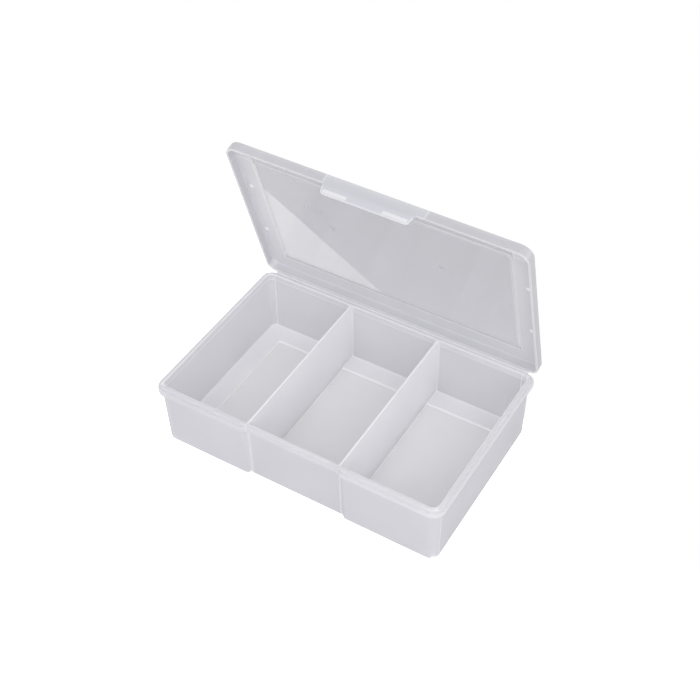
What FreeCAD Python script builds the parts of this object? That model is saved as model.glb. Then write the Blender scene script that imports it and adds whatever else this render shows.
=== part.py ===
import FreeCAD, Part
import math
import os

from FreeCAD import Vector

# Compartment organizer box: a moulded tray with three compartments, a film-hinged lid and a snap latch.
# Millimetres. +Z is up, -Y is the front with the latch, +Y the hinge side, and X runs along the row of compartments.
# The origin is the middle of the foot, on the surface that the box stands on.

# Tray walls and floor
inner_length = 260.0       # between the lip's inner faces, along X
inner_width = 161.4        # between the lip's inner faces, along Y
tray_height = 65.8         # from the foot to the lip's top
wall = 2.6
floor = 2.8
wall_lean = 1.0            # how far each wall is drawn in at its foot
wall_corner = 8.3          # outer radius of the upright corners
base_round = 1.5           # outer edge between wall and base
floor_round = 1.2          # inner edge between wall and floor

# Lip, and the bead outside it that the lid stands on
lip_height = 3.3
lip = 3.4
lip_round = 0.8
lip_setback = 1.2          # of the lip's outer face above the latch
bead_reach = 3.1           # from the wall's outer face to the bead's
bead_edge = 4.5            # height of the bead's upright face, over a 45 degree underside
rim_front_corner = 11.0    # outer radius of the bead's front corners, and of the lid's
rim_rear_corner = 8.5
bead_round = 0.7           # top edge of the bead
bead_under_round = 1.2     # edge between the bead's face and its underside

# Stacking foot, and the field sunk in the lid to take the foot of the next box
foot_border = 20.4         # from the walls' outer faces at the base to the foot
foot_height = 1.2
field_border = 20.3        # from the lid's outer faces to the field
field_depth = 1.4
plateau_corner = 2.5       # of both

# Middle of the front wall, set back to make room for the latch
recess_depth = 2.7
step_bend = 7.0            # convex bend of the wall at each end of the recess
step_hollow = 2.0          # hollow bend that follows it
bead_step_hollow = 1.0     # the same hollow bend on the bead

# Dividers, which make equal compartments
compartments = 3
divider_top = 1.8
divider_foot = 2.4
divider_drop = 0.2         # from the lip's top to the divider's

# Lid
lid_height = 9.5           # from the skirt's free edge to the panel's outer face
panel = 1.5
skirt = 1.6
lid_round = 2.0            # outer edge between panel and skirt
lid_inner_round = 1.2
seat_gap = 0.15            # between the bead and the skirt's free edge when the lid is shut
open_angle = 74.0          # how far the lid stands open at rest, from closed, in degrees

# Film hinge
film = 0.5
film_inset = 0.3           # from each end of the bead's straight rear edge to the film's end
film_reach = 1.4           # from the bead's rear face to the line that the lid turns about

# Latch
tab_end_gap = 2.6          # from each end of the recess's straight run to the tab's root
tab_margin = 1.1           # from a nub's lower edge to the tab's
tab_slant = 2.5            # how far each end of the tab leans in towards its foot
tab_corner = 3.0
nub_length = 21.5
nub_height = 3.2
nub_bite = 1.0             # how far a nub reaches under the bead
nub_inset = 3.5            # from the end of the tab's root to a nub
catch_gap = 0.4            # between the bead's underside and a nub
bay_gap = 1.0              # clear length beyond each end of the tab

# Extra length of a cutting tool beyond the face that it opens, and how near an edge lies to the level it is picked by
overrun = 5.0
edge_tolerance = 0.001

# Levels and half sizes that follow from these
half_length = inner_length / 2
half_width = inner_width / 2
ledge = tray_height - lip_height
base = foot_height
floor_top = base + floor
bead_half_length = half_length + wall + bead_reach
bead_half_width = half_width + wall + bead_reach
foot_half_length = half_length + wall - wall_lean - foot_border
foot_half_width = half_width + wall - wall_lean - foot_border
field_half_length = bead_half_length - field_border
field_half_width = bead_half_width - field_border
divider_spacing = (inner_length + divider_top) / compartments
recess_length = divider_spacing
film_length = 2 * (bead_half_length - rim_rear_corner - film_inset)
tab_length = recess_length - 2 * tab_end_gap
tab_drop = seat_gap + bead_edge + catch_gap + nub_height + tab_margin
axis_y = bead_half_width + film_reach
axis_z = ledge + seat_gap / 2
lid_foot = ledge + seat_gap
step_sum = step_bend + step_hollow


def arc(centre_x, centre_y, radius, start, turn, z):
    """One arc of a level outline, from an angle through a turn, both in radians."""
    def at(angle):
        return Vector(centre_x + radius * math.cos(angle), centre_y + radius * math.sin(angle), z)
    return Part.Arc(at(start), at(start + turn / 2), at(start + turn)).toShape()


def line(first, last):
    return Part.LineSegment(first, last).toShape()


def corner_arcs(half_x, half_y, front_corner, rear_corner, z):
    """The four round corners of a level outline centred on the origin, from the front right one round."""
    quarter = math.pi / 2
    front_x, front_y = half_x - front_corner, half_y - front_corner
    rear_x, rear_y = half_x - rear_corner, half_y - rear_corner
    return [
        arc(front_x, -front_y, front_corner, -quarter, quarter, z),
        arc(rear_x, rear_y, rear_corner, 0, quarter, z),
        arc(-rear_x, rear_y, rear_corner, quarter, quarter, z),
        arc(-front_x, -front_y, front_corner, 2 * quarter, quarter, z),
    ]


def outline(arcs, tangent=()):
    """Closes arcs into one outline, with a straight run before each that doesn't carry on from the last."""
    edges = []
    for number, bend in enumerate(arcs):
        if number not in tangent:
            edges.append(line(arcs[number - 1].lastVertex(True).Point, bend.firstVertex(True).Point))
        edges.append(bend)
    return Part.Wire(edges)


def rounded_rectangle(half_x, half_y, corner, z):
    return outline(corner_arcs(half_x, half_y, corner, corner, z))


def stepped_rectangle(half_x, half_y, front_corner, rear_corner, hollow, z, depth=recess_depth):
    """Level outline with the middle of its front edge set back, through an S bend at each end."""
    quarter = math.pi / 2
    step_turn = math.acos(1 - depth / step_sum)
    bend = step_sum - hollow
    run = recess_length / 2
    reach = run + step_sum * math.sin(step_turn)
    front = -half_y
    back = front + depth
    steps = [
        arc(-reach, front + bend, bend, -quarter, step_turn, z),
        arc(-run, back - hollow, hollow, quarter + step_turn, -step_turn, z),
        arc(run, back - hollow, hollow, quarter, -step_turn, z),
        arc(reach, front + bend, bend, -quarter - step_turn, step_turn, z),
    ]
    return outline(steps + corner_arcs(half_x, half_y, front_corner, rear_corner, z), tangent=(1, 3))


def wall_outline(inset, z):
    """Outline of the wall at a height, this far inside its outer face, with the wall's lean."""
    lean = wall_lean * (ledge - z) / (ledge - base)
    corner = wall_corner - inset
    return stepped_rectangle(half_length + wall - lean - inset, half_width + wall - lean - inset,
                             corner, corner, step_hollow + inset, z)


def bead_outline(z):
    return stepped_rectangle(bead_half_length, bead_half_width, rim_front_corner, rim_rear_corner, bead_step_hollow, z)


def lid_outline(inset, z):
    """Outline of the lid's skirt, this far inside its outer face."""
    return outline(corner_arcs(bead_half_length - inset, bead_half_width - inset,
                               rim_front_corner - inset, rim_rear_corner - inset, z))


def prism(outline, height):
    return Part.Face(outline).extrude(Vector(0, 0, height))


def loft(lower, upper):
    return Part.makeLoft([lower, upper], True, True)


def edges_at(shape, z):
    """The edges that lie level at a height."""
    return [edge for edge in shape.Edges
            if abs(edge.BoundBox.ZMin - z) < edge_tolerance and abs(edge.BoundBox.ZMax - z) < edge_tolerance]


def plateau_solid(half_x, half_y, depth, z):
    """A low plateau with 45 degree sides: full size at its lower face, wider by its depth at the upper one."""
    lower = rounded_rectangle(half_x, half_y, plateau_corner, z)
    upper = rounded_rectangle(half_x + depth, half_y + depth, plateau_corner + depth, z + depth)
    return loft(lower, upper)


def make_cavity():
    """Everything inside the tray: the stepped space between the walls, the foot's hollow and the space in the lip."""
    low = loft(wall_outline(wall, floor_top), wall_outline(wall, ledge))
    low = low.makeFillet(floor_round, edges_at(low, floor_top))
    hollow = plateau_solid(foot_half_length, foot_half_width, foot_height, floor)
    mouth = prism(rounded_rectangle(half_length, half_width, wall_corner - wall, ledge), lip_height + overrun)
    return low.fuse([hollow, mouth])


def make_bead():
    """The bead that the lid's skirt stands on, cut away under its middle so that the latch can reach below it."""
    face = prism(bead_outline(ledge - bead_edge), bead_edge)
    under_z = ledge - bead_edge - bead_reach
    under = loft(wall_outline(0, under_z), bead_outline(ledge - bead_edge))
    bead = face.fuse(under).removeSplitter()
    bead = bead.makeFillet(bead_under_round, edges_at(bead, ledge - bead_edge))
    bead = bead.makeFillet(bead_round, edges_at(bead, ledge))
    bay_half = tab_length / 2 + bay_gap
    bay = Part.makeBox(2 * bay_half, bead_half_width, ledge - bead_edge - under_z + overrun,
                       Vector(-bay_half, -bead_half_width - overrun, under_z - overrun))
    return bead.cut(bay)


def make_tray(cavity):
    """Walls, floor and foot, with the bead and the lip on top, hollowed by the cavity."""
    walls = loft(wall_outline(0, base), wall_outline(0, ledge))
    walls = walls.makeFillet(base_round, edges_at(walls, base))
    foot = plateau_solid(foot_half_length, foot_half_width, foot_height, 0)
    lip_corner = wall_corner - wall + lip
    lip_ring = prism(stepped_rectangle(half_length + lip, half_width + lip, lip_corner, lip_corner, step_hollow, ledge,
                                       lip_setback), lip_height)
    tray = walls.fuse([foot, make_bead(), lip_ring]).cut(cavity).removeSplitter()
    return tray.makeFillet(lip_round, edges_at(tray, tray_height))


def make_divider(side, cavity):
    """Thin wall with draft and a round top, seated on the floor and between the front and rear walls."""
    middle = side * divider_spacing / 2
    crown = divider_top / 2
    top = tray_height - divider_drop
    foot_half = divider_foot / 2
    front = -bead_half_width
    left, right = middle - crown, middle + crown
    section = Part.Wire([
        line(Vector(middle - foot_half, front, 0), Vector(middle + foot_half, front, 0)),
        line(Vector(middle + foot_half, front, 0), Vector(right, front, top - crown)),
        Part.Arc(Vector(right, front, top - crown), Vector(middle, front, top), Vector(left, front, top - crown)).toShape(),
        line(Vector(left, front, top - crown), Vector(middle - foot_half, front, 0)),
    ])
    slab = Part.Face(section).extrude(Vector(0, 2 * bead_half_width, 0))
    return slab.common(cavity)


def opened(shape):
    """Turns a piece drawn with the lid closed to the angle where the lid rests."""
    turned = shape.copy()
    turned.rotate(Vector(0, axis_y, axis_z), Vector(-1, 0, 0), open_angle)
    return turned


def make_lid():
    """Drawn closed on the ledge: a shallow cover with a sunken field in its panel."""
    top = lid_foot + lid_height
    ceiling = top - panel
    outer = prism(lid_outline(0, lid_foot), lid_height)
    outer = outer.makeFillet(lid_round, edges_at(outer, top))
    inner = prism(lid_outline(skirt, lid_foot), lid_height - panel)
    inner = inner.makeFillet(lid_inner_round, edges_at(inner, ceiling))
    raised = plateau_solid(field_half_length, field_half_width, field_depth, ceiling - field_depth)
    sunken = plateau_solid(field_half_length, field_half_width, field_depth, top - field_depth)
    return outer.cut(inner).fuse(raised).cut(sunken).removeSplitter()


def make_hinge_film():
    """Thin web bent round between the bead's rear face and the skirt's, seen from the side a part of a ring."""
    rise = film_reach * math.tan(math.radians(open_angle / 2))
    inner = rise + seat_gap / 2 + bead_round
    centre_z = axis_z + rise
    turn = math.pi - math.radians(open_angle)

    def at(radius, angle):
        return Vector(-film_length / 2, bead_half_width + radius * math.sin(angle), centre_z - radius * math.cos(angle))

    outer = inner + film
    section = Part.Wire([
        Part.Arc(at(inner, 0), at(inner, turn / 2), at(inner, turn)).toShape(),
        line(at(inner, turn), at(outer, turn)),
        Part.Arc(at(outer, turn), at(outer, turn / 2), at(outer, 0)).toShape(),
        line(at(outer, 0), at(inner, 0)),
    ])
    return Part.Face(section).extrude(Vector(film_length, 0, 0))


def make_latch_tab():
    """Drawn closed: a flat tab below the skirt, with leaning ends and round lower corners."""
    root = tab_length / 2
    foot = root - tab_slant
    front = -bead_half_width
    low = lid_foot - tab_drop
    outline = Part.makePolygon([Vector(-root, front, lid_foot), Vector(root, front, lid_foot), Vector(foot, front, low),
                                Vector(-foot, front, low), Vector(-root, front, lid_foot)])
    tab = Part.Face(outline).extrude(Vector(0, skirt, 0))
    lower_corners = [edge for edge in edges_at(tab, low) if edge.BoundBox.YLength > skirt / 2]
    return tab.makeFillet(tab_corner, lower_corners)


def make_latch_nubs():
    """Two catches on the tab's inner face, each a ramp below a flat top that holds under the bead."""
    face = -bead_half_width + skirt
    tip = -bead_half_width + recess_depth + nub_bite
    top = ledge - bead_edge - catch_gap
    low = top - nub_height
    land = nub_height / 2
    nubs = []
    outer_end = tab_length / 2 - nub_inset
    for start in (-outer_end, outer_end - nub_length):
        section = Part.makePolygon([Vector(start, face, top), Vector(start, tip, top), Vector(start, tip, top - land),
                                    Vector(start, face, low), Vector(start, face, top)])
        nubs.append(Part.Face(section).extrude(Vector(nub_length, 0, 0)))
    return Part.makeCompound(nubs)


tray_cavity = make_cavity()
pieces = {
    "tray": make_tray(tray_cavity),
    "left_divider": make_divider(-1, tray_cavity),
    "right_divider": make_divider(1, tray_cavity),
    "hinge_film": make_hinge_film(),
    "lid": opened(make_lid()),
    "latch_tab": opened(make_latch_tab()),
    "latch_nubs": opened(make_latch_nubs()),
}

os.makedirs("parts", exist_ok=True)
for name, shape in pieces.items():
    shape.exportStep(f"parts/{name}.step")
    print(name, "valid" if shape.isValid() else "NOT VALID", len(shape.Solids), "solids", round(shape.Volume), "mm3")
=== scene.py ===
import bpy
import math
from mathutils import Matrix, Vector


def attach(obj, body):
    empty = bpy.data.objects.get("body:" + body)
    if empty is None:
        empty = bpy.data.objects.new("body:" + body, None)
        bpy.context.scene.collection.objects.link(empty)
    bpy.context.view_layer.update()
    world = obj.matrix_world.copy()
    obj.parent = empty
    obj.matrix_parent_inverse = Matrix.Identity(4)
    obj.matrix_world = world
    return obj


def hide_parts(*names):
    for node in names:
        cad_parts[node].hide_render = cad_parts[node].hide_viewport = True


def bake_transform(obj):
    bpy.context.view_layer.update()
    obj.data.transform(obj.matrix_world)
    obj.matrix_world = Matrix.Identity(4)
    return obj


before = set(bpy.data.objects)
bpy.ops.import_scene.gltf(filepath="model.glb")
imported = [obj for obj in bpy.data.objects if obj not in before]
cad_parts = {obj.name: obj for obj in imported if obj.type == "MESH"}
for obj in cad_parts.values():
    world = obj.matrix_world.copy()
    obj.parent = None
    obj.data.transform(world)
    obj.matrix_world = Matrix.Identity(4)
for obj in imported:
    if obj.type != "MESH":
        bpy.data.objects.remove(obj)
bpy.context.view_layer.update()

bpy.ops.object.select_all(action="DESELECT")


# Tray: one open moulding of natural polypropylene, with thin drafted walls, a lip and a bead. It is milky:
# most light goes through, but what lies behind is only a faint veil. Rims, corners and the dividers' roots
# gather light, and are painted paler as highlights, as are the lip and its collar, more on the right than on
# the left. The skin has a soft gloss with a faint orange peel.
rim_highlight_colour, rim_depth, rim_span = (0.985, 0.98, 0.99, 1), 0.0013, (1.0, 0.45)
cloud_scale, cloud_detail, cloud_dark, cloud_pale = 22.0, 3.0, 0.96, 1.04
peel_scale, peel_detail, peel_depth, peel_share = 700.0, 2.0, 0.0002, 0.13
edge_on_span, edge_on_shade = (0.72, 1.0), 0.72
veil_colour, rim_veil_share = (0.97, 0.97, 0.98, 1), 0.1
gloss_index, gloss_limit = 1.49, 0.14
wall_colour = (0.805, 0.802, 0.835)
floor_colour, floor_border_colour = (0.93, 0.927, 0.95, 1), (0.955, 0.952, 0.975, 1)
lip_half_length, lip_half_width = 0.130, 0.0807
lip_edge_span, lip_top_span = (0.0014, 0.0008), (0.0646, 0.0649)
collar_foot, collar_span, collar_line_span = 0.0597, (0.0591, 0.0597), (0.0006, 0.0003)
collar_highlight_left, collar_highlight_right = 0.08, 0.42
inner_face_span, outer_side_span, rear_wall_span = (0.0006, 0.0002), (0.1303, 0.1306), (0.074, 0.078)
corner_line_y, corner_line_span = 0.0757, (0.0006, 0.0003)
bend_line_x, bend_line_span, bend_rear_span = 0.1243, (0.0010, 0.0005), (0.0770, 0.0775)
divider_offset = 0.04363
root_span, rear_root_span, floor_root_span = (0.0015, 0.0010), (0.0033, 0.0028), (0.0024, 0.0019)
foot_half_length, foot_half_width, step_span = 0.1112, 0.0619, (0.0008, 0.0004)
border_span, border_along_span = (0.0, 0.0008), (0.08, 0.0)
floor_height_span, floor_edge_span = (0.0054, 0.0041), (0.0008, 0.0002)
recess_y, recess_side_span = -0.0780, (0.0440, 0.0500)


def add_node(tree, kind, **given):
    """A shader node. Lower-case names are its settings, and the rest its sockets, by name or by number."""
    made = tree.nodes.new("ShaderNode" + kind)
    for name in given:
        if name[0].islower():
            setattr(made, name, given[name])
    for name in given:
        if name[0].islower():
            continue
        socket = made.inputs[int(name[1:])] if name[1:].isdigit() else made.inputs[name.replace("_", " ")]
        if isinstance(given[name], bpy.types.NodeSocket):
            tree.links.new(given[name], socket)
        else:
            socket.default_value = given[name]
    return made


def calculate(tree, operation, first, second=0.0):
    """One step of arithmetic on sockets or numbers."""
    return add_node(tree, "Math", operation=operation, _0=first, _1=second).outputs["Value"]


def product(tree, first, *others):
    for other in others:
        first = calculate(tree, "MULTIPLY", first, other)
    return first


def largest(tree, first, *others):
    for other in others:
        first = calculate(tree, "MAXIMUM", first, other)
    return first


def distance(tree, value, place):
    """How far the value is from a place, on either side of it."""
    return calculate(tree, "ABSOLUTE", calculate(tree, "SUBTRACT", value, place))


def beyond(tree, value, half_size):
    """How far the value lies beyond a half size, on either side of the middle."""
    return calculate(tree, "SUBTRACT", calculate(tree, "ABSOLUTE", value), half_size)


def fade(tree, value, start, end):
    """0 where the value is at start, rising to 1 where it is at end."""
    return add_node(tree, "MapRange", Value=value, From_Min=start, From_Max=end).outputs["Result"]


def blend_colour(tree, share, first, second):
    """The first colour where the share is 0, and the second where it is 1."""
    return add_node(tree, "Mix", data_type="RGBA", Factor=share, _6=first, _7=second).outputs[2]


def milky_finish(tree, body, see_through, glow, roughness, rim_level=1.0, highlight=0.0, joined=0.0):
    """One finish of the plastic: its colour, the share seen through, the share of light let through, its
    gloss, how strongly a highlight is painted on its rims, places painted with the same highlight, and edges
    that run on into the next piece."""
    place = add_node(tree, "TexCoord").outputs["Object"]
    cloud = add_node(tree, "TexNoise", Vector=place, Scale=cloud_scale, Detail=cloud_detail).outputs["Fac"]
    cloudy = add_node(tree, "MapRange", Value=cloud, To_Min=cloud_dark, To_Max=cloud_pale).outputs["Result"]
    peel = add_node(tree, "TexNoise", Vector=place, Scale=peel_scale, Detail=peel_detail).outputs["Fac"]
    skin = add_node(tree, "Bump", Height=peel, Strength=roughness * peel_share, Distance=peel_depth)
    skin = skin.outputs["Normal"]

    # Painted highlight: thin rims and edges, found by rays cast inside the piece, and the given highlight
    # places are blended towards a pale colour and seen through less.
    thin = add_node(tree, "AmbientOcclusion", inside=True, only_local=True, samples=8, Distance=rim_depth)
    free = calculate(tree, "SUBTRACT", fade(tree, thin.outputs["AO"], *rim_span), joined)
    highlight_share = largest(tree, product(tree, free, rim_level), highlight)
    milk = add_node(tree, "VectorMath", operation="SCALE", _0=body, Scale=cloudy).outputs["Vector"]
    tone = blend_colour(tree, highlight_share, milk, rim_highlight_colour)
    # Painted shade: faces seen edge-on are darkened, except where a highlight is painted.
    edge_on = fade(tree, add_node(tree, "LayerWeight", Blend=0.5).outputs["Facing"], *edge_on_span)
    edge_on = product(tree, edge_on, calculate(tree, "SUBTRACT", 1.0, highlight))
    shade = add_node(tree, "MapRange", Value=edge_on, To_Min=1.0, To_Max=edge_on_shade).outputs["Result"]
    tone = add_node(tree, "VectorMath", operation="SCALE", _0=tone, Scale=shade).outputs["Vector"]

    solid = add_node(tree, "BsdfPrincipled", Base_Color=tone, Roughness=roughness,
                     Specular_IOR_Level=0.0, Normal=skin)
    let_through = add_node(tree, "BsdfTranslucent", Color=tone)
    milky = add_node(tree, "MixShader", Fac=glow, _1=solid.outputs["BSDF"], _2=let_through.outputs["BSDF"])
    window = add_node(tree, "BsdfTransparent", Color=veil_colour).outputs["BSDF"]
    share = add_node(tree, "MapRange", Value=highlight_share, To_Min=see_through, To_Max=see_through * rim_veil_share)
    veil = add_node(tree, "MixShader", Fac=share.outputs["Result"], _1=milky.outputs["Shader"], _2=window)
    veil = veil.outputs["Shader"]

    mirror = add_node(tree, "BsdfGlossy", Color=(1, 1, 1, 1), Roughness=roughness, Normal=skin).outputs["BSDF"]
    from_inside = add_node(tree, "NewGeometry").outputs["Backfacing"]
    slant = calculate(tree, "MINIMUM", add_node(tree, "Fresnel", IOR=gloss_index).outputs["Fac"], gloss_limit)
    gloss = add_node(tree, "MapRange", Value=from_inside, To_Min=slant, To_Max=0.0).outputs["Result"]
    return add_node(tree, "MixShader", Fac=gloss, _1=veil, _2=mirror).outputs["Shader"]


def empty_material(name):
    material = bpy.data.materials.new(name)
    material.use_nodes = True
    material.node_tree.nodes.clear()
    return material, material.node_tree


def put_on(node, material):
    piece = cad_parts[node]
    piece.data.materials.clear()
    piece.data.materials.append(material)


wall_plastic, wall_tree = empty_material("milky_wall_plastic")
spot = add_node(wall_tree, "SeparateXYZ", Vector=add_node(wall_tree, "TexCoord").outputs["Object"]).outputs
aside = calculate(wall_tree, "ABSOLUTE", spot["X"])
off_divider = distance(wall_tree, aside, divider_offset)
past_lip = largest(wall_tree, beyond(wall_tree, spot["X"], lip_half_length),
                   beyond(wall_tree, spot["Y"], lip_half_width))
inner_face = fade(wall_tree, past_lip, *inner_face_span)

# Painted highlights: pale lines along the dividers' roots, the lip's edges, the collar's foot, the outer
# corners and the inner rear corners.
root = fade(wall_tree, off_divider, *root_span)
rear_root = product(wall_tree, fade(wall_tree, off_divider, *rear_root_span),
                    fade(wall_tree, spot["Y"], *rear_wall_span), inner_face)
lip_line = product(wall_tree, fade(wall_tree, past_lip, *lip_edge_span),
                   fade(wall_tree, spot["Z"], *lip_top_span))
off_collar = distance(wall_tree, spot["Z"], collar_foot)
collar_line = product(wall_tree, fade(wall_tree, off_collar, *collar_line_span), inner_face)
off_corner = distance(wall_tree, calculate(wall_tree, "ABSOLUTE", spot["Y"]), corner_line_y)
corner_line = product(wall_tree, fade(wall_tree, off_corner, *corner_line_span),
                      fade(wall_tree, aside, *outer_side_span))
off_bend = distance(wall_tree, aside, bend_line_x)
bend_line = product(wall_tree, fade(wall_tree, off_bend, *bend_line_span),
                    fade(wall_tree, spot["Y"], *bend_rear_span), inner_face)
# Painted highlight: the lip and collar above the bead's foot are painted paler, more on the right than on the
# left, by where the light falls.
side_lit_collar_share = add_node(wall_tree, "MapRange", Value=spot["X"],
                    From_Min=-lip_half_length, From_Max=lip_half_length,
                    To_Min=collar_highlight_left, To_Max=collar_highlight_right).outputs["Result"]
wall_highlight = product(wall_tree, fade(wall_tree, spot["Z"], *collar_span), side_lit_collar_share)
wall_highlight_lines = ((root, 0.4), (rear_root, 0.8), (lip_line, 0.85),
              (collar_line, 0.5), (corner_line, 0.5), (bend_line, 0.8))
for highlight_line, level in wall_highlight_lines:
    wall_highlight = largest(wall_tree, wall_highlight, product(wall_tree, highlight_line, level))
walls = milky_finish(wall_tree, wall_colour, see_through=0.20, glow=0.60, roughness=0.30,
                     rim_level=0.6, highlight=wall_highlight)

# Painted highlights: pale lines along the floor's foot step and the dividers' feet.
off_step = largest(wall_tree, beyond(wall_tree, spot["X"], foot_half_length),
                   beyond(wall_tree, spot["Y"], foot_half_width))
step = fade(wall_tree, calculate(wall_tree, "ABSOLUTE", off_step), *step_span)
floor_highlight = product(wall_tree, largest(wall_tree, step, fade(wall_tree, off_divider, *floor_root_span)), 0.7)
# The floor is coloured paler than the walls and lets less light through, as a thicker floor would; part of
# that paleness is painted light, for the light that the table sends back up through it. Its border beyond the
# foot's step is paler still towards the left.
on_border = product(wall_tree, fade(wall_tree, off_step, *border_span),
                    fade(wall_tree, spot["X"], *border_along_span))
base = milky_finish(wall_tree, blend_colour(wall_tree, on_border, floor_colour, floor_border_colour),
                    see_through=0.10, glow=0.15, roughness=0.22, highlight=floor_highlight)

past_recess = calculate(wall_tree, "SUBTRACT", recess_y, spot["Y"])
past_recess = calculate(wall_tree, "SUBTRACT", past_recess, fade(wall_tree, aside, *recess_side_span))
past_wall = largest(wall_tree, past_lip, past_recess)
in_floor = product(wall_tree, fade(wall_tree, spot["Z"], *floor_height_span),
                   fade(wall_tree, past_wall, *floor_edge_span))
tray_surface = add_node(wall_tree, "MixShader", Fac=in_floor, _1=walls, _2=base)
add_node(wall_tree, "OutputMaterial", Surface=tray_surface.outputs["Shader"])
put_on("tray", wall_plastic)


# Dividers: two thin walls with draft and round tops, moulded with the tray, that make its three
# compartments. They are of the tray's plastic, and paler than its walls, because light comes to them from
# both sides.
divider_colour = (0.97, 0.967, 0.985)
divider_plastic, divider_tree = empty_material("milky_divider_plastic")
divider_walls = milky_finish(divider_tree, divider_colour, see_through=0.16, glow=0.25, roughness=0.30)
add_node(divider_tree, "OutputMaterial", Surface=divider_walls)
put_on("left_divider", divider_plastic)
put_on("right_divider", divider_plastic)


# Lid: a shallow cover of the same plastic. Its border is frosted, and the field sunk in its panel is
# polished, so that it mirrors the dividers and shows what stands behind it. Highlights are painted along
# the field's edge, brim and front slope, and as two pale lines across the front of its skirt; painted light
# also covers the shade in the strip beside the field.
hinge = Vector((0, 0.0878, 0.062575))
open_angle = math.radians(74.0)
border_colour, skirt_colour = (0.77, 0.767, 0.80, 1), (0.70, 0.697, 0.73, 1)
latch_colour = (0.77, 0.775, 0.815)
polished_colour = (0.515, 0.512, 0.56)
polish_span, polish_front_level, polish_rear_level = (-0.03, 0.06), 0.92, 1.06
field_half_length, field_half_width, polish_front, field_span = 0.1154, 0.0661, 0.0841, (0.0020, 0.0014)
edge_gap, edge_line_span = 0.0022, (0.0006, 0.0003)
brim_inner_span, brim_outer_span = (-0.0014, -0.0009), (0.0004, 0.0002)
strip_inner_span, strip_outer_span = (0.0016, 0.0022), (0.0042, 0.0034)
off_right_span, off_front_span = (0.1140, 0.1136), (-0.0671, -0.0661)
front_slope_y, front_slope_span = -0.0668, (0.0014, 0.0009)
skirt_front_span, skirt_skin_span = (-0.1710, -0.1722), (-0.1718, -0.1722)
skirt_side_span = (0.0182, 0.0188)
skirt_highlight_xs, skirt_highlight_span, between_skirt_highlights_span = (-0.0420, 0.0486), (0.0013, 0.0005), (0.0456, 0.0450)
tab_root_span, tab_height_span = (0.0414, 0.0410), (0.0026, 0.0020)


def closed_place(tree):
    """Where a point of the open lid or latch would be if the lid were closed, seen from the hinge."""
    place = add_node(tree, "Mapping", Vector=add_node(tree, "TexCoord").outputs["Object"],
                     Rotation=(open_angle, 0, 0), Location=-(Matrix.Rotation(open_angle, 3, "X") @ hinge))
    return add_node(tree, "SeparateXYZ", Vector=place.outputs["Vector"]).outputs


lid_plastic, lid_tree = empty_material("milky_lid_plastic")
across = closed_place(lid_tree)
along = calculate(lid_tree, "ADD", across["Y"], hinge.y)
outside = largest(lid_tree, beyond(lid_tree, across["X"], field_half_length),
                  calculate(lid_tree, "SUBTRACT", along, field_half_width),
                  calculate(lid_tree, "SUBTRACT", -polish_front, along))
off_right = fade(lid_tree, across["X"], *off_right_span)
off_front = fade(lid_tree, along, *off_front_span)

# Painted highlights: pale lines along the field's edge, its brim, its front slope and two lines across the
# skirt; and painted light over the strip beside the field, where the field's edge casts its shade, except at
# its front and right.
off_edge_lines = distance(lid_tree, distance(lid_tree, outside, edge_gap / 2), edge_gap / 2)
edge_line = product(lid_tree, fade(lid_tree, off_edge_lines, *edge_line_span), off_front)
brim = product(lid_tree, fade(lid_tree, outside, *brim_inner_span), fade(lid_tree, outside, *brim_outer_span),
               off_right, off_front)
shade_lifting_strip = product(lid_tree, fade(lid_tree, outside, *strip_inner_span),
                     fade(lid_tree, outside, *strip_outer_span), off_right, off_front)
front_slope = fade(lid_tree, distance(lid_tree, along, front_slope_y), *front_slope_span)
lid_highlight_lines = [(edge_line, 0.3), (brim, 0.7), (shade_lifting_strip, 0.4), (front_slope, 0.2)]
for skirt_highlight_x in skirt_highlight_xs:
    skirt_highlight = fade(lid_tree, distance(lid_tree, across["X"], skirt_highlight_x), *skirt_highlight_span)
    skirt_highlight = product(lid_tree, skirt_highlight, fade(lid_tree, across["Y"], *skirt_skin_span))
    lid_highlight_lines.append((skirt_highlight, 0.35))
lid_highlight = 0.0
for highlight_line, level in lid_highlight_lines:
    lid_highlight = largest(lid_tree, lid_highlight, product(lid_tree, highlight_line, level))

in_front = fade(lid_tree, across["Y"], *skirt_front_span)
at_root = product(lid_tree, fade(lid_tree, across["Z"], *tab_height_span),
                  fade(lid_tree, calculate(lid_tree, "ABSOLUTE", across["X"]), *tab_root_span), in_front)
in_skirt = largest(lid_tree, in_front, fade(lid_tree, outside, *skirt_side_span))
off_middle = distance(lid_tree, across["X"], sum(skirt_highlight_xs) / 2)
between_skirt_highlights = product(lid_tree, fade(lid_tree, off_middle, *between_skirt_highlights_span), in_front)
frost = blend_colour(lid_tree, in_skirt, border_colour, skirt_colour)
frost = blend_colour(lid_tree, between_skirt_highlights, frost, (*latch_colour, 1))
frosted = milky_finish(lid_tree, frost, see_through=0.15, glow=0.42, roughness=0.34,
                       highlight=lid_highlight, joined=at_root)

toward_hinge = add_node(lid_tree, "MapRange", Value=along, From_Min=polish_span[0], From_Max=polish_span[1],
                        To_Min=polish_front_level, To_Max=polish_rear_level).outputs["Result"]
clear = add_node(lid_tree, "VectorMath", operation="SCALE", _0=polished_colour, Scale=toward_hinge)
polished = milky_finish(lid_tree, clear.outputs["Vector"], see_through=0.55, glow=0.42, roughness=0.03,
                        highlight=lid_highlight)
in_field = fade(lid_tree, outside, *field_span)
lid_surface = add_node(lid_tree, "MixShader", Fac=in_field, _1=frosted, _2=polished)
add_node(lid_tree, "OutputMaterial", Surface=lid_surface.outputs["Shader"])
put_on("lid", lid_plastic)


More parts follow.
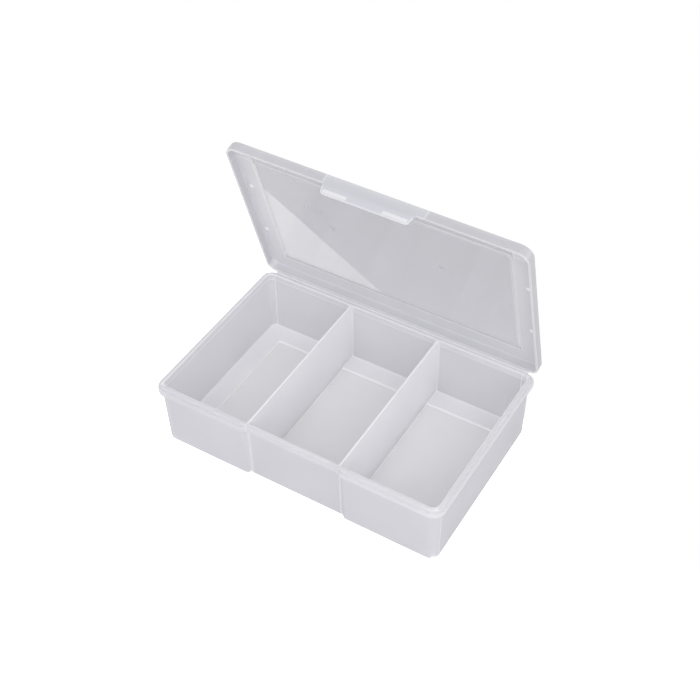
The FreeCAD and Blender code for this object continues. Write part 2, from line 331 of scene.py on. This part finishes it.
# Hinge film: the thin web that joins the lid's rear skirt to the tray's bead along their whole length. It is
# moulded in one piece with both, and bends each time the lid turns. Stretched thin, it is the clearest part
# of the plastic.
film_colour = (0.87, 0.867, 0.895)
web_half_length, web_thickness = 0.1269, 0.0005
web_y, web_z, web_inner_radius = 0.0864, 0.063630, 0.001830
web_turn = math.pi - open_angle
web_steps = 18
web_middle_radius = web_inner_radius + web_thickness / 2
web_start = (0, web_y, web_z - web_middle_radius)
bpy.ops.object.select_all(action="DESELECT")
bpy.ops.mesh.primitive_plane_add(size=1, rotation=(math.pi / 2, 0, 0), location=web_start)
web = bpy.context.object
web.name = "hinge_web"
web.scale = (2 * web_half_length, web_thickness, 1)
bpy.ops.object.transform_apply(location=True, rotation=True, scale=True)
bpy.ops.object.mode_set(mode="EDIT")
bpy.ops.mesh.select_all(action="SELECT")
bpy.ops.mesh.spin(steps=web_steps, angle=web_turn, center=(0, web_y, web_z), axis=(-1, 0, 0))
bpy.ops.mesh.select_all(action="SELECT")
bpy.ops.mesh.remove_doubles(threshold=0.000001)
bpy.ops.mesh.normals_make_consistent(inside=False)
bpy.ops.object.mode_set(mode="OBJECT")
bpy.ops.object.shade_smooth_by_angle(angle=math.radians(40))
film_plastic, film_tree = empty_material("thin_film_plastic")
film_skin = milky_finish(film_tree, film_colour, see_through=0.35, glow=0.42, roughness=0.25)
add_node(film_tree, "OutputMaterial", Surface=film_skin)
web.data.materials.append(film_plastic)
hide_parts("hinge_film")
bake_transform(web)


# Ejector marks: six small round flats that the mould's pins left on the inner face of the lid, four on its
# border and two on its field. Each stands a little proud, with a shallow dish in it, and shines paler than
# the face round it; that shine is painted into its colour as a highlight.
mark_colour, field_mark_colour = (0.95, 0.947, 0.96), (0.72, 0.717, 0.75)
mark_radius, mark_rise, mark_rim, mark_dish, mark_top_share = 0.0021, 0.00018, 0.0005, 0.00010, 0.93
border_face, field_face = 0.008075, 0.006675
mark_places = ((-0.1285, -0.117, border_face), (-0.1285, -0.056, border_face), (0.1285, -0.117, border_face),
               (0.1285, -0.056, border_face), (-0.0503, -0.102, field_face), (0.0532, -0.1032, field_face))
bpy.ops.object.select_all(action="DESELECT")
bpy.ops.mesh.primitive_circle_add(vertices=48, radius=mark_radius, fill_type="NGON")
pattern_mark = bpy.context.object
bpy.ops.object.mode_set(mode="EDIT")
bpy.ops.mesh.select_all(action="SELECT")
bpy.ops.mesh.extrude_region_move(TRANSFORM_OT_translate={"value": (0, 0, -mark_rise / 2)})
bpy.ops.mesh.extrude_region_move(TRANSFORM_OT_translate={"value": (0, 0, -mark_rise / 2)})
bpy.ops.transform.resize(value=(mark_top_share, mark_top_share, 1))
bpy.ops.mesh.inset(thickness=mark_rim)
bpy.ops.transform.translate(value=(0, 0, mark_dish))
bpy.ops.mesh.select_all(action="SELECT")
bpy.ops.mesh.normals_make_consistent(inside=False)
bpy.ops.object.mode_set(mode="OBJECT")
bpy.ops.object.shade_smooth_by_angle(angle=math.radians(30))
mark_plastic, mark_tree = empty_material("ejector_mark_plastic")
mark_skin = milky_finish(mark_tree, mark_colour, see_through=0.05, glow=0.25, roughness=0.20)
add_node(mark_tree, "OutputMaterial", Surface=mark_skin)
faint_plastic, faint_tree = empty_material("polished_mark_plastic")
faint_skin = milky_finish(faint_tree, field_mark_colour, see_through=0.30, glow=0.60, roughness=0.10,
                          rim_level=0.0, highlight=0.35)
add_node(faint_tree, "OutputMaterial", Surface=faint_skin)
opened = Matrix.Translation(hinge) @ Matrix.Rotation(-open_angle, 4, "X")
for number, mark_place in enumerate(mark_places, 1):
    mark = pattern_mark.copy()
    mark.data = pattern_mark.data.copy()
    bpy.context.collection.objects.link(mark)
    mark.data.transform(opened @ Matrix.Translation(Vector(mark_place)))
    mark.name = f"ejector_mark_{number}"
    mark.data.materials.append(mark_plastic if mark_place[2] == border_face else faint_plastic)
    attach(mark, "lid")
bpy.data.objects.remove(pattern_mark)


# Latch tab: the tongue at the middle of the lid's free edge, moulded with it, that bends out over the bead
# to close the box. Its plastic is frosted like the lid's border, and is painted paler, as a highlight,
# where the nubs stand behind it.
nub_inner_span, nub_outer_span = (0.0157, 0.0163), (0.0378, 0.0372)
nub_top_span, nub_foot_span = (-0.0047, -0.0053), (-0.0085, -0.0079)
tab_joined_span = (-0.0026, -0.0020)
tab_plastic, tab_tree = empty_material("milky_tab_plastic")
reach = closed_place(tab_tree)
tab_aside = calculate(tab_tree, "ABSOLUTE", reach["X"])
# Painted highlight on the tab where the nubs stand behind it.
nub_highlight = product(tab_tree, fade(tab_tree, tab_aside, *nub_inner_span),
                fade(tab_tree, tab_aside, *nub_outer_span),
                fade(tab_tree, reach["Z"], *nub_foot_span), fade(tab_tree, reach["Z"], *nub_top_span))
tab_skin = milky_finish(tab_tree, latch_colour, see_through=0.15, glow=0.42, roughness=0.34,
                        highlight=product(tab_tree, nub_highlight, 0.7),
                        joined=fade(tab_tree, reach["Z"], *tab_joined_span))
add_node(tab_tree, "OutputMaterial", Surface=tab_skin)
put_on("latch_tab", tab_plastic)


# Latch nubs: the two solid bars on the tab that snap under the bead, moulded with it. They are thick, so
# they look paler than the tab.
nub_colour = (0.97, 0.967, 0.98)
nub_plastic, nub_tree = empty_material("milky_nub_plastic")
nub_skin = milky_finish(nub_tree, nub_colour, see_through=0.03, glow=0.25, roughness=0.28)
add_node(nub_tree, "OutputMaterial", Surface=nub_skin)
put_on("latch_nubs", nub_plastic)


# Table: the plain white top that the box stands on, painted and matt. Its far edge runs askew behind the
# box, and the camera sees it lifted to white.
edge_point = Vector((-0.0534, 0.1663, 0))
edge_direction = Vector((-0.2029, 0.0841, 0)).normalized()
table_size = 6.0
table_colour, lift_colour, lift_level = (0.95, 0.95, 0.94, 1), (1, 0.995, 0.95, 1), 0.62
bpy.ops.mesh.primitive_plane_add(size=table_size)
table = bpy.context.object
table.name = "table"
inward = Vector((-edge_direction.y, edge_direction.x, 0))
table_middle = edge_point + inward * (table_size / 2)
edge_turn = math.atan2(edge_direction.y, edge_direction.x)
table.data.transform(Matrix.Translation(table_middle) @ Matrix.Rotation(edge_turn, 4, "Z"))
white_top, top_tree = empty_material("white_table_top")
paint = add_node(top_tree, "BsdfDiffuse", Color=table_colour)
seen_directly = add_node(top_tree, "LightPath").outputs["Is Camera Ray"]
lift = add_node(top_tree, "Emission", Color=lift_colour, Strength=product(top_tree, seen_directly, lift_level))
top = add_node(top_tree, "AddShader", _0=paint.outputs["BSDF"], _1=lift.outputs["Emission"])
add_node(top_tree, "OutputMaterial", Surface=top.outputs["Shader"])
table.data.materials.append(white_top)


# Studio light: an even pale room, white where it is seen or mirrored, and one wide soft light from the
# front, above and to the right.
room_level, seen_room_level = 0.70, 1.0
light_level, light_angle, light_direction = 1.80, math.radians(80), Vector((-0.44, 0.66, -0.61))
room = bpy.data.worlds.new("pale_room")
bpy.context.scene.world = room
room.use_nodes = True
room_tree = room.node_tree
room_tree.nodes.clear()
ray = add_node(room_tree, "LightPath").outputs
seen = largest(room_tree, ray["Is Camera Ray"], ray["Is Glossy Ray"], ray["Is Transmission Ray"])
seen = calculate(room_tree, "SUBTRACT", seen, ray["Is Diffuse Ray"])
room_glow = add_node(room_tree, "MapRange", Value=seen, To_Min=room_level, To_Max=seen_room_level)
backdrop = add_node(room_tree, "Background", Color=(1, 1, 1, 1), Strength=room_glow.outputs["Result"])
add_node(room_tree, "OutputWorld", Surface=backdrop.outputs["Background"])

bpy.ops.object.light_add(type="SUN", location=(0.3, -0.2, 1.5))
soft_light = bpy.context.object
soft_light.name = "overhead_light"
soft_light.data.angle = light_angle
soft_light.data.energy = light_level
soft_light.rotation_euler = light_direction.to_track_quat("-Z", "Y").to_euler()


# Camera at the photograph's angle.
eye = Vector((0.39877, -0.62513, 0.84210))
azimuth, elevation, roll = math.radians(31.0576), math.radians(44.2463), math.radians(-0.5699)
back = Vector((math.sin(azimuth) * math.cos(elevation), -math.cos(azimuth) * math.cos(elevation),
               math.sin(elevation)))
level_right = Vector((math.cos(azimuth), math.sin(azimuth), 0))
right = level_right * math.cos(roll) + back.cross(level_right) * math.sin(roll)
up = back.cross(right)
bpy.ops.object.camera_add()
camera = bpy.context.object
camera.matrix_world = Matrix.Translation(eye) @ Matrix((right, up, back)).transposed().to_4x4()
camera.data.sensor_width = 36
camera.data.lens = 66.119
camera.data.shift_x = -0.0254
camera.data.shift_y = -0.0237
camera.data.clip_end = 50
bpy.context.scene.camera = camera
bpy.context.scene.view_settings.view_transform = "Standard"
